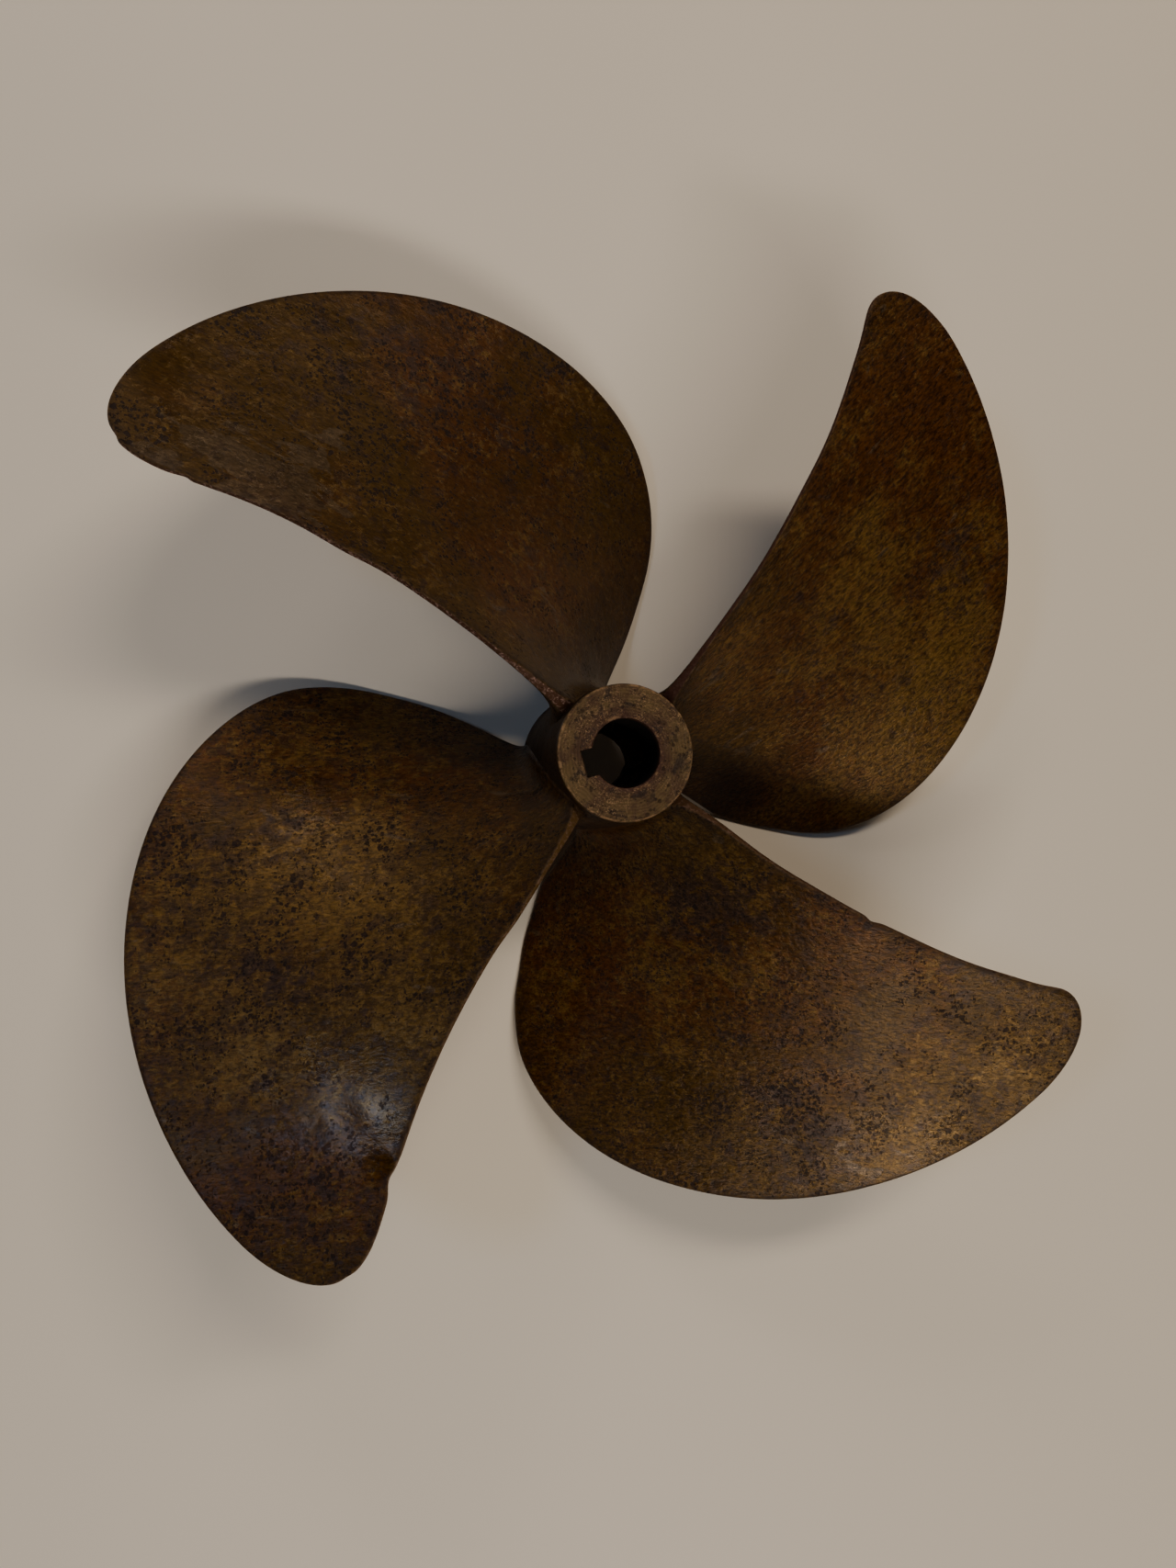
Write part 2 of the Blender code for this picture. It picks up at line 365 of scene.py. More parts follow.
def row_places(length, trailing):
    """For each point: its share k of the way from the middle line to the edge, and its side,
    from 0 on the face to 1 on the back."""
    nose = blended(LEADING_NOSE, TRAILING_NOSE, trailing) / length
    power = blended(LEADING_POWER, TRAILING_POWER, trailing)
    face_k = np.linspace(0.0, 1.0, FACE_ROWS + 1)[:, None] * (1 - nose)
    round_turn = np.linspace(math.pi / 2, -math.pi / 2, RIM_ROWS + 1)[1:-1, None]
    rim_k = 1 - nose + nose * np.cos(round_turn) ** power
    rim_side = 0.5 - 0.5 * np.sign(np.sin(round_turn)) * np.abs(np.sin(round_turn)) ** power
    k = np.concatenate([face_k, rim_k, face_k[::-1]])
    side = np.concatenate([np.zeros_like(face_k), rim_side, np.ones_like(face_k)])
    return k, side


print("rows:", 2 * (FACE_ROWS + 1) + RIM_ROWS - 1)

# %% [markdown]
# One blade has a bent corner. The knock is a dent in the outline, but it also moved metal up and
# down, so four soft bells bend the blade there.

# %% The bend beside the knock
KNOCKED_BLADE = "blade_1"
KNOCK_RADIUS = 0.198
KNOCK_ANGLE = 43.5
# (how far aft, how far further in and its reach, how far from the edge and its reach), in metres
BENDS = [
    (-0.0016, 0.0, 0.006, 0.0, 0.007),  # the hollow where it was hit
    (0.0012, 0.0075, 0.0035, 0.0, 0.004),  # the lip that was pushed up beside it
    (0.0006, 0.020, 0.011, 0.020, 0.014),  # the buckle further in
    (-0.0005, 0.005, 0.010, 0.026, 0.010),  # the trough behind the hollow
]


def bend_near_knock(blade, radius, angle):
    """How far the metal is pushed aft near the knock: the sum of the bells."""
    bend = np.zeros_like(radius)
    if blade == KNOCKED_BLADE:
        along = radius - KNOCK_RADIUS
        across = radius * (angle - np.radians(KNOCK_ANGLE))
        for amount, inward, reach_in, aside, reach_aside in BENDS:
            bend += amount * np.exp(-((along + inward) / reach_in) ** 2
                                    - ((across + aside) / reach_aside) ** 2)
    return bend


print("bends:", len(BENDS), "at radius", KNOCK_RADIUS)

# %% [markdown]
# A point's height follows from its angle, as on any screw. The back of the blade stands off square
# to that screw by the thickness. Near the hub both sides flare out along a quarter circle: that is
# the root fillet, which keeps the metal from cracking there.

# %% A blade's points
BACK_SHIFT = 0.02


def from_axis(radius, angle, height):
    """Points (x, y, z) at a radius and an angle about the shaft's axis, and at a height."""
    return np.stack([radius * np.cos(angle), radius * np.sin(angle),
                     height + np.zeros_like(angle)], axis=-1)


def blade_points(blade, turn):
    """The blade's closed surface as a grid (row, column, xyz), and facts about each point. A point
    lies k times the way from the middle line to the edge, in radius and in angle alike. The back
    reads its noise a little aside, so that its relief isn't a copy of the face's."""
    (edge_radius, edge_angle, line_radius, line_angle,
     edge_thickness, length, trailing) = outline(blade)
    k, side = row_places(length, trailing)
    radius = blended(line_radius, edge_radius, k)
    angle = blended(line_angle, edge_angle, k)
    swell = np.clip(greatest_thickness(radius) - edge_thickness, 0, None)
    thickness = edge_thickness + swell * (1 - k * k)
    height = blade_zero + section_pitch(radius) * angle / (2 * math.pi)

    depth = np.clip((radius - hub_radius_at(height)) / ROOT_FILLET, 0.0, 1.0)
    flare = ROOT_FILLET * (1 - np.sqrt(1 - (1 - depth) ** 2)) * np.sqrt(np.clip(1 - k * k, 0, 1))
    offset = thickness * side + flare * (2 * side - 1)
    drawn = from_axis(radius, angle + turn, height)
    offset = offset + casting_relief(drawn + BACK_SHIFT * side[..., None]) * (2 * side - 1)
    offset = offset - bend_near_knock(blade, radius, angle)

    helix = helix_angle(radius)
    final_angle = angle + offset * np.sin(helix) / radius
    final_height = np.minimum(height - offset * np.cos(helix), cad_box[1][2])
    facts = {"edge_gap": (1 - k) * length, "trailing": trailing * np.ones_like(k), "side": side,
             "radius": radius}
    return from_axis(radius, final_angle + turn, final_height), facts


print("grid of", KNOCKED_BLADE, blade_points(KNOCKED_BLADE, 0.0)[0].shape)

# %% [markdown]
# ## From a grid to a mesh
#
# The grid's two halves meet on the middle line, where each point comes twice and is merged. Both
# ends of the grid lie inside the hub and are closed with a flat cap, so that the blade is a solid
# and not a bag.

# %% Helpers that make meshes
DOUBLE_DISTANCE = 0.000002

casting = bpy.data.collections.new("casting")
bpy.context.scene.collection.children.link(casting)


def grid_faces(rows, columns, wrap=False):
    """Four-sided faces of a grid of points numbered row by row. A wrapped grid closes on itself
    both ways."""
    index = np.arange(rows * columns).reshape(rows, columns)
    if wrap:
        index = np.pad(index, ((0, 1), (0, 1)), mode="wrap")
    corners = [index[:-1, :-1], index[:-1, 1:], index[1:, 1:], index[1:, :-1]]
    return np.stack([corner.ravel() for corner in corners], axis=1)


def store(mesh, name, numbers):
    """Keep one number per point on a mesh, in the order of its points."""
    layer = mesh.attributes.new(name, "FLOAT", "POINT")
    layer.data.foreach_set("value", np.ascontiguousarray(numbers, dtype=np.float32).ravel())


def make_piece(name, points, faces, facts, extra_faces=()):
    """A mesh object from points and faces, with doubled points merged, faces turned outward and
    shaded smooth, and one number per point for each of the facts."""
    mesh = bpy.data.meshes.new(name)
    mesh.from_pydata(points.reshape(-1, 3).tolist(), [],
                     faces.tolist() + [list(face) for face in extra_faces])
    for label, numbers in facts.items():
        store(mesh, label, numbers)
    shape = bmesh.new()
    shape.from_mesh(mesh)
    bmesh.ops.remove_doubles(shape, verts=shape.verts, dist=DOUBLE_DISTANCE)
    bmesh.ops.recalc_face_normals(shape, faces=shape.faces)
    loose = sum(1 for edge in shape.edges if not edge.is_manifold)
    shape.to_mesh(mesh)
    volume = shape.calc_volume(signed=True)
    shape.free()
    mesh.shade_smooth()
    piece = bpy.data.objects.new(name, mesh)
    casting.objects.link(piece)
    triangles = sum(len(polygon.vertices) - 2 for polygon in mesh.polygons)
    print(name, "triangles:", triangles, "open edges:", loose,
          "volume in cm3:", round(1e6 * volume, 1))
    return piece


# %% Make the four blades
blades = {}
for number in range(4):
    name = f"blade_{number + 1}"
    points, facts = blade_points(name, number * math.pi / 2)
    rows, columns = points.shape[:2]
    index = np.arange(rows * columns).reshape(rows, columns)
    cap = np.concatenate([index[:, 0], index[::-1, -1]])
    blades[name] = make_piece(name, points, grid_faces(rows, columns), facts, [cap])

# %% [markdown]
# ## The hub
#
# One closed grid makes all of the hub: columns go round the axis, and rows go up the bore, out
# over the aft face, down the flank and in over the fore face, back to the first row. The bore's
# radius depends on the angle: it is round, but cut square where the key goes. The keyway's corners
# always fall on a column.

# %% Columns of the hub
FAR_WALL_STEPS = 10
SIDE_WALL_STEPS = 8
ROUND_STEPS = 150


def bore_radius(height):
    """The bore's radius at a height: a straight taper, wider at the fore end."""
    return blended(BORE_FORE_RADIUS, BORE_AFT_RADIUS, hub_share(height))


def keyway_corners(bore):
    """Angles of the keyway's corners, measured from its middle: the far wall's corner is at
    atan(half width / far wall), the near corner at asin(half width / radius)."""
    return np.arctan2(KEY_HALF_WIDTH, bore + KEYWAY_DEPTH), np.arcsin(KEY_HALF_WIDTH / bore)


def column_angles(height):
    """Angles of all columns at each height: even steps along the keyway's far wall, its side
    wall and the round part, on one side and then the other."""
    far_corner, near_corner = keyway_corners(bore_radius(height))
    far_part = np.linspace(0.0, 1.0, FAR_WALL_STEPS, endpoint=False) * far_corner
    side_part = far_corner + (np.linspace(0.0, 1.0, SIDE_WALL_STEPS, endpoint=False)
                              * (near_corner - far_corner))
    round_part = near_corner + np.linspace(0.0, 1.0, ROUND_STEPS + 1) * (math.pi - near_corner)
    half = np.concatenate([far_part, side_part, round_part], axis=1)
    return np.concatenate([half, -half[:, -2:0:-1]], axis=1)


def bore_outline(angle, height):
    """The radius of the bore's wall at each angle: the far wall lies at a fixed x, the side walls
    at a fixed y, and the rest is round. The limits keep the unused branches finite."""
    bore = bore_radius(height)
    far_corner, near_corner = keyway_corners(bore)
    size = np.abs(angle)
    far = (bore + KEYWAY_DEPTH) / np.cos(np.minimum(size, 1.0))
    side = KEY_HALF_WIDTH / np.sin(np.clip(size, 0.1, math.pi / 2))
    return np.where(size <= far_corner + 1e-9, far, np.where(size < near_corner, side, bore))


print("columns of the hub:", column_angles(np.array([[aft_face]])).shape[1])

# %% Rows of the hub
MOUTH_ROUNDING, MOUTH_STEPS = 0.0006, 5
RIM_ROUNDING, RIM_STEPS = 0.0009, 6
FORE_RIM_ROUNDING, FORE_RIM_STEPS = 0.0030, 8
BORE_ROWS, AFT_FACE_ROWS, FLANK_ROWS, FORE_FACE_ROWS = 30, 42, 60, 22


def quarter_circle(rounding, steps):
    """How far a quarter circle stays inside its corner: its radius times one less the sine, and
    times one less the cosine."""
    turn = np.linspace(0, math.pi / 2, steps)
    return rounding * (1 - np.sin(turn)), rounding * (1 - np.cos(turn))


def profile_rows():
    """The hub's rows in order, as (height, share from the bore 0 to the flank 1, rounding in
    from the bore's edge, rounding in from the rim): bore, aft mouth, aft face, aft rim, flank,
    fore rim, fore face and fore mouth."""
    mouth_closing, mouth_opening = quarter_circle(MOUTH_ROUNDING, MOUTH_STEPS)
    rim_closing, rim_opening = quarter_circle(RIM_ROUNDING, RIM_STEPS)
    fore_closing, fore_opening = quarter_circle(FORE_RIM_ROUNDING, FORE_RIM_STEPS)
    bore = np.linspace(fore_face + MOUTH_ROUNDING, aft_face - MOUTH_ROUNDING, BORE_ROWS)
    flank = np.linspace(aft_face - RIM_ROUNDING, fore_face + FORE_RIM_ROUNDING, FLANK_ROWS)
    parts = [
        (bore, 0.0, 0.0, 0.0),
        (aft_face - mouth_closing[1:], 0.0, mouth_opening[1:], 0.0),
        (aft_face, np.linspace(0, 1, AFT_FACE_ROWS)[1:-1], MOUTH_ROUNDING, RIM_ROUNDING),
        (aft_face - rim_opening, 1.0, 0.0, rim_closing),
        (flank[1:-1], 1.0, 0.0, 0.0),
        (fore_face + fore_closing, 1.0, 0.0, fore_opening),
        (fore_face, np.linspace(1, 0, FORE_FACE_ROWS)[1:-1], MOUTH_ROUNDING, FORE_RIM_ROUNDING),
        (fore_face + mouth_opening[:-1], 0.0, mouth_closing[:-1], 0.0),
    ]
    return np.concatenate([np.stack(np.broadcast_arrays(*part), axis=1) for part in parts])


hub_rows = profile_rows()
print("rows of the hub:", len(hub_rows))

# %% [markdown]
# The hub has been used hard: its rim is worn unevenly, and the bore's mouth is ragged where such
# propellers are knocked off their shafts. So noise round the axis rounds both corners more or
# less. The aft face is battered by a tenth of a millimetre, and kept a little low, so that it
# doesn't stand over the CAD model's.

# %% Make the hub
MOUTH_RING, RIM_RING = 0.016, 0.030
AFT_SIDE = 0.004
FACE_RELIEF = 0.35
FACE_DROP = 0.00012
HUB_EDGE_GAP = 0.02

height, share, mouth_in, rim_in = (hub_rows[:, k:k + 1] for k in range(4))
angle = column_angles(height)
ring = from_axis(1.0, angle, 0.0)
ragged = (1.1 + 1.8 * np.abs(noise(ring * MOUTH_RING, 0.0035, 5.0)) ** 1.5
          + 0.5 * noise(ring * MOUTH_RING, 0.0012, 6.0))
worn = 1 + 0.7 * noise(ring * RIM_RING, 0.009, 8.0)
aft_side = height > aft_face - AFT_SIDE
inner = bore_outline(angle, height) + mouth_in * np.where(aft_side, ragged, 1.0)
outer = hub_radius_at(height) - rim_in * np.where(aft_side, worn, 1.0)
radius = inner * (1 - share) + outer * share
turned = from_axis(radius, angle, height)

relief = casting_relief(turned)
on_face = (share > 0) & (share < 1)
lift = np.where(on_face, np.where(aft_side, FACE_RELIEF, -FACE_RELIEF), 0.0)
battered = 0.00011 * noise(turned, 0.0021, 31.0) + 0.00008 * noise(turned, 0.0052, 37.0)
battered = np.where(on_face & aft_side, battered - FACE_DROP, 0.0)
radius = radius + relief * (share == 1.0) * smooth_step(rim_in, 0.0008, 0.0)
points = from_axis(radius, angle, height + relief * lift + battered)
facts = {"edge_gap": np.full(radius.shape, HUB_EDGE_GAP), "side": np.zeros(radius.shape),
         "radius": radius}
hub = make_piece("hub", points, grid_faces(*radius.shape, wrap=True), facts)

# %% [markdown]
# ## Where the metal has gone which colour
#
# The patina isn't the same everywhere. One blade has a purple cloud by its root, another pale
# smears near its tip, and some places are polished by wear. A few patches are painted shade, in a
# knock and by a blade's root, and on two blades the pale patches are painted sheen as well as
# stain. Each is a soft round patch on a blade, and its strength is stored on the mesh's points
# under the name of its kind, where the material reads it. A strength below zero takes away.

# %% Patches of colour
# blade: kind: (radius in mm, angle on the blade in degrees, reach in mm, strength)
PATCHES = {
    "blade_1": {
        "purple": [(176, 18, 14, 0.8), (187, 12, 12, 0.7), (150, -1, 24, 0.45), (206, 2, 30, 0.35),
                   (222, 36, 26, 0.5)],
        "golden": [(140, 10, 80, 0.7), (110, -28, 50, 0.5), (121, 11, 22, 0.9), (140, 5, 24, 0.6),
                   (200, 6, 34, 0.7), (143, 19, 22, 0.4), (173, -16, 26, -0.5), (84, 17, 24, -0.5),
                   (237, 30, 24, -0.7), (204, 26, 16, 0.5)],
        "ruddy": [(113, -26, 40, 0.8), (70, 0, 40, 0.5), (215, 34, 34, 0.6)],
        # painted sheen: a pale greyish patch where the face shines
        "pale": [(142, -4, 18, 0.5)],
        "polished": [(194, 43.5, 4, 0.9), (184, 36, 28, 1.0), (142, -5, 22, 0.6)],
    },
    "blade_2": {
        "purple": [(92, 20, 18, 0.9), (78, 15, 18, 0.9), (174, 9, 26, 0.6), (203, 12, 22, 0.7)],
        "golden": [(150, 14, 50, 0.3), (70, 10, 40, 0.8), (222, 36, 44, 0.9), (212, 18, 34, 0.4),
                   (156, 28, 28, -0.9), (187, 20, 22, -0.6), (234, 25, 24, 0.3)],
        "ruddy": [(66, -28, 40, 0.9), (110, -14, 40, 0.7), (130, 36, 30, 0.5)],
        # pale patch: painted sheen near the edge by the tip, and stains
        "pale": [(228, 15, 20, 0.6)],
        "polished": [(228, 20, 36, 0.6)],
        # painted shade in the dark nick on the trailing edge
        "painted_shade": [(131, 39.2, 2.4, 1.4)],
    },
    "blade_3": {
        "purple": [(196, 14, 26, 0.8), (120, 12, 20, 0.4)],
        "golden": [(140, 0, 110, 1.3), (210, 9, 26, 0.6), (170, -10, 40, 0.6), (131, 26, 20, 0.6),
                   (180, -6, 30, 0.6), (110, -8, 24, -0.7)],
        "ruddy": [(150, 5, 100, 0.8), (200, 16, 50, 0.6), (226, 30, 40, 0.7), (182, 18, 34, 0.5)],
        "pale": [(68, 0, 24, 0.4)],
        # painted shade by the root, where the hub and the next blade shade it
        "painted_shade": [(76, -28, 32, 0.75)],
    },
    "blade_4": {
        "purple": [(200, 12, 46, 0.6), (150, -5, 50, 0.4), (241, 38, 15, -1.0),
                   (212, 24, 26, 0.3)],
        "golden": [(216, 24, 30, 0.3), (238, 36, 24, -0.4), (225, 20, 40, -0.6),
                   (200, 5, 30, -0.4), (186, 29, 22, -0.4)],
        "ruddy": [(110, -4, 60, 0.5)],
        "pale": [(210, 41, 12, 0.9), (192, 39, 18, 1.0), (183, 30, 11, 0.9), (176, 40, 18, 0.9),
                 (155, 37, 14, 0.5), (80, 8, 20, 0.35), (236, 37, 16, -0.9)],
        "polished": [(240, 37, 16, 0.8)],
    },
    "hub": {},
}
KINDS = ("golden", "ruddy", "purple", "pale", "polished", "painted_shade")
FIRST_ANGLE = -0.9 * math.pi


def patches(blade, radius, angle):
    """The strength of each kind at every point: bell shapes of the distance on the blade."""
    fields = {kind: np.zeros_like(radius) for kind in KINDS}
    for kind, marks in PATCHES[blade].items():
        for middle, degrees, reach, strength in marks:
            across = middle / 1000 * (angle - math.radians(degrees))
            away = np.hypot(radius - middle / 1000, across) / (reach / 1000)
            fields[kind] += strength * bell(away)
    return fields


print("patches for:", list(PATCHES))

# %% [markdown]
# Each blade was also wiped and brushed in a direction of its own. So a second set of places is
# stored, turned to run along the grain and squeezed that way: a pattern read from them comes out
# long and narrow. Last come four numbers for each whole piece.

# %% Grain and tones
# the direction of the fine grain on each piece, in degrees
GRAIN = {"blade_1": -15, "blade_2": -15, "blade_3": 27, "blade_4": -32, "hub": -15}
GRAIN_LENGTH = 2.6
# how golden and how scuffed a blade's blunt edge is, and how flecked and how ridged its face is
TONE_NAMES = ("edge_gold", "edge_scuff", "flecked", "ridged")
TONES = {
    "blade_1": (1.0, 0.6, 0.8, 0.5), "blade_2": (0.4, 0.35, 0.2, 0.72),
    "blade_3": (0.0, 0.1, -1.6, 1.0), "blade_4": (0.15, 1.0, -0.3, 0.05),
    "hub": (0, 0, 0.3, 0.3),
}


def store_grain(piece, place):
    """Keep places for the grain: x along it, divided by its length, and y across it."""
    turn = math.radians(GRAIN[piece.name])
    along = (place[:, 0] * math.cos(turn) + place[:, 1] * math.sin(turn)) / GRAIN_LENGTH
    across = place[:, 1] * math.cos(turn) - place[:, 0] * math.sin(turn)
    grain = np.stack([along, across, place[:, 2]], axis=1).astype(np.float32)
    layer = piece.data.attributes.new("grain_place", "FLOAT_VECTOR", "POINT")
    layer.data.foreach_set("vector", grain.ravel())


for number, piece in enumerate([*blades.values(), hub]):
    place = np.empty(3 * len(piece.data.vertices), np.float32)
    piece.data.vertices.foreach_get("co", place)
    place = place.reshape(-1, 3)
    around = np.arctan2(place[:, 1], place[:, 0]) - number * math.pi / 2
    around = (around - FIRST_ANGLE) % (2 * math.pi) + FIRST_ANGLE
    fields = patches(piece.name, np.hypot(place[:, 0], place[:, 1]), around)
    for kind, numbers in fields.items():
        store(piece.data, kind, numbers)
    store_grain(piece, place)
    for label, tone in zip(TONE_NAMES, TONES[piece.name]):
        store(piece.data, label, np.full(len(place), tone))
print("grain in degrees:", GRAIN)

# %% [markdown]
# ## Old bronze
#
# Bronze left alone grows a thin brown skin of oxide. Where it is thin the gold of the metal shows
# through, where it is thick it is nearly black, and the pits hold dirt. A picture of old metal
# would stretch and repeat, so the material is built up as the skin is, layer on layer, each from
# noise that passes a threshold. It reads Object coordinates, which are the same on all five
# pieces, so the pattern runs on from the blades over the fillets to the hub. Only the grain reads
# its own stored places.

# %% Helpers for materials
def add(tree, kind, inputs=None, **settings):
    """A shader node. Settings are its own properties; inputs are values or links."""
    item = tree.nodes.new(kind)
    for key, value in settings.items():
        setattr(item, key, value)
    for key, value in (inputs or {}).items():
        if isinstance(value, bpy.types.NodeSocket):
            tree.links.new(value, item.inputs[key])
        else:
            item.inputs[key].default_value = value
    return item


def attribute(tree, name, output="Fac"):
    """What is stored on the mesh's points under a name: a number, or with "Vector" a place."""
    return add(tree, "ShaderNodeAttribute", attribute_name=name).outputs[output]


def cloud(tree, vector, scale, detail=3.0, roughness=0.55, distortion=0.0):
    """Noise from 0 to 1, mostly near the middle. Scale is how many lumps fit in a metre."""
    inputs = {"Vector": vector, "Scale": scale, "Detail": detail, "Roughness": roughness,
              "Distortion": distortion}
    return add(tree, "ShaderNodeTexNoise", inputs).outputs["Fac"]


def math_node(tree, operation, *values):
    """A sum, product or other simple operation on one to three values."""
    return add(tree, "ShaderNodeMath", dict(enumerate(values)), operation=operation).outputs[0]


def product(tree, first, *others):
    """All the values multiplied."""
    for value in others:
        first = math_node(tree, "MULTIPLY", first, value)
    return first


def lifted(tree, base, *steps):
    """The base with each step's value times its amount added to it, one after the other."""
    for value, amount in steps:
        base = math_node(tree, "MULTIPLY_ADD", value, amount, base)
    return base


def between(tree, value, low, high, to_low=0.0, to_high=1.0):
    """A smooth climb from to_low to to_high while the value goes from low to high."""
    inputs = {"Value": value, "From Min": low, "From Max": high, "To Min": to_low,
              "To Max": to_high}
    return add(tree, "ShaderNodeMapRange", inputs,
               interpolation_type="SMOOTHSTEP").outputs["Result"]


def mix(tree, share, first, second, blend="MIX"):
    """Two colours mixed: all of the first at 0 and all of the second at 1."""
    return add(tree, "ShaderNodeMix", {0: share, 6: first, 7: second}, data_type="RGBA",
               blend_type=blend).outputs[2]


def covered(tree, colour, *layers):
    """The colour with layers of paint over it, each as thick as its share times its amount."""
    for share, amount, paint in layers:
        colour = mix(tree, product(tree, share, amount), colour, paint)
    return colour


def shaded(tree, colour, tone):
    """The colour made darker or lighter: all three of its parts times the tone."""
    grey = add(tree, "ShaderNodeCombineColor", {0: tone, 1: tone, 2: tone}).outputs[0]
    return mix(tree, 1.0, colour, grey, "MULTIPLY")


def new_material(name):
    """A material with its shader node and its tree."""
    material = bpy.data.materials.new(name)
    material.use_nodes = True
    return material, material.node_tree, material.node_tree.nodes["Principled BSDF"]


print("stored kinds:", KINDS)

# %% [markdown]
# The ground is a brown that wanders between olive and red. Gold comes over it twice: thinly in
# broad patches, and strongly in fine flecks, thicker where the patches are. Then come pale stains,
# drawn out along the grain, purple-brown clouds and small dark scabs. On two blades pale patches
# make the pale layer a painted sheen as well as a stain. A patch paints nothing itself: it lifts
# the noise, so that more of it passes the threshold.

# %% Colours of the skin
OLIVE = (0.055, 0.0255, 0.0026, 1.0)
RUDDY = (0.064, 0.0205, 0.0024, 1.0)
GOLD = (0.118, 0.061, 0.0105, 1.0)
PURPLE = (0.033, 0.0175, 0.0125, 1.0)
PALE = (0.085, 0.055, 0.031, 1.0)
SCAB = (0.027, 0.0125, 0.0075, 1.0)
DARK = (0.0125, 0.0055, 0.0042, 1.0)


def brown_and_gold(tree, place, fields):
    """The ground colour with gold over it, and where the golden flecks are."""
    broad = lifted(tree, cloud(tree, place, 15, 5, 0.6), (fields["ruddy"], 0.3))
    colour = mix(tree, between(tree, broad, 0.42, 0.72), OLIVE, RUDDY)
    even_gold = lifted(tree, cloud(tree, place, 30, 3, 0.6), (fields["golden"], 0.2))
    colour = mix(tree, between(tree, even_gold, 0.55, 0.85, 0.0, 0.45), colour, GOLD)
    amount = lifted(tree, even_gold, (fields["flecked"], 0.07))
    flecks = lifted(tree, cloud(tree, place, 260, 7, 0.76, 0.6), (amount, 0.42))
    flecks = between(tree, flecks, 0.7, 0.9)
    return covered(tree, colour, (flecks, 0.85, GOLD)), flecks


def stains_and_clouds(tree, place, grain_place, fields, colour):
    """The colour with stains (in places a painted sheen), clouds and scabs over it, and where the
    stains are.
    """
    stain_and_sheen = lifted(tree, cloud(tree, grain_place, 120, 4, 0.5, 0.8), (fields["pale"], 0.21))
    stain_and_sheen = between(tree, stain_and_sheen, 0.67, 0.7)
    clouds = lifted(tree, cloud(tree, place, 75, 8, 0.8, 0.4), (fields["purple"], 0.13))
    scabs = lifted(tree, cloud(tree, place, 150, 5, 0.68, 0.6),
                   (fields["flecked"], 0.03), (fields["purple"], 0.06))
    # the pale layer: stains, and on two blades painted sheen
    colour = covered(tree, colour, (stain_and_sheen, 0.55, PALE),
                     (between(tree, clouds, 0.59, 0.65), 0.7, PURPLE),
                     (between(tree, scabs, 0.545, 0.585), 0.5, SCAB))
    return colour, stain_and_sheen


print("red of gold:", GOLD[0], "and of olive:", OLIVE[0])

# %% [markdown]
# Pits come from a Voronoi pattern, which cuts space into cells round one point each. A pit is a
# ball round that point. The places are shaken a little first, so that no pit is a perfect disc.
# Two sizes of pits crowd together in clouds. They are shallower where the metal is polished,
# stained or strongly ridged.

# %% Pits
EMPTY_CELLS = 0.4
SHAKE = (0.0018, 0.0018, 0.0018)


def pits(tree, place, scale, amount):
    """Roundish pits, at most one to a cell. A pit's radius is its cell's random number less the
    share of empty cells, times the amount."""
    cell = add(tree, "ShaderNodeTexVoronoi", {"Vector": place, "Scale": scale})
    chance = add(tree, "ShaderNodeSeparateColor", {0: cell.outputs["Color"]}).outputs[0]
    radius = product(tree, math_node(tree, "SUBTRACT", chance, EMPTY_CELLS), amount)
    depth = math_node(tree, "SUBTRACT", cell.outputs["Distance"], radius)
    return between(tree, depth, 0.03, -0.13)


def casting_pits(tree, place, fields, stain_and_sheen):
    """Where the skin is pitted: the larger of the two sizes, times what wear has left."""
    ragged = add(tree, "ShaderNodeTexNoise", {"Vector": place, "Scale": 900.0, "Detail": 2.0})
    shaken = add(tree, "ShaderNodeVectorMath", {0: ragged.outputs["Color"], 1: SHAKE, 2: place},
                 operation="MULTIPLY_ADD").outputs["Vector"]
    crowd = lifted(tree, cloud(tree, place, 42, 4, 0.66),
                   (fields["purple"], 0.1), (fields["flecked"], 0.02))
    large = pits(tree, shaken, 380, between(tree, crowd, 0.5, 0.66, 0.1, 1.15))
    small = pits(tree, shaken, 740, between(tree, crowd, 0.4, 0.62, 0.35, 1.25))
    worn_away = math_node(tree, "MAXIMUM", product(tree, fields["polished"], 0.6), stain_and_sheen)
    return product(tree, math_node(tree, "MAXIMUM", large, small),
                   between(tree, worn_away, 0.0, 1.0, 0.88, 0.25),
                   between(tree, fields["ridged"], 0.6, 1.0, 1.0, 0.55))


print("share of cells without a pit:", EMPTY_CELLS)

# %% [markdown]
# The grain draws lighter and darker lines. Towards the hub the metal is darkened by painted
# shade, and so it is in the patches of painted shade; along the edges it is darker in broken
# stretches. Roughness and height come last: the back of a blade, the pits and the edges are
# rough, worn places are smooth, and every layer that can be felt on the real casting adds to the
# height.

# %% Grain, edges, roughness and height
METALLIC = 0.35
IOR = 1.3


def grain_lines(tree, grain_place):
    """Coarse ridges, and the whole grain: ridges and fine lines in equal parts."""
    ridges = cloud(tree, grain_place, 640, 3, 0.6)
    fine = product(tree, cloud(tree, grain_place, 1350, 5, 0.72), 0.6)
    return ridges, lifted(tree, fine, (ridges, 0.6))


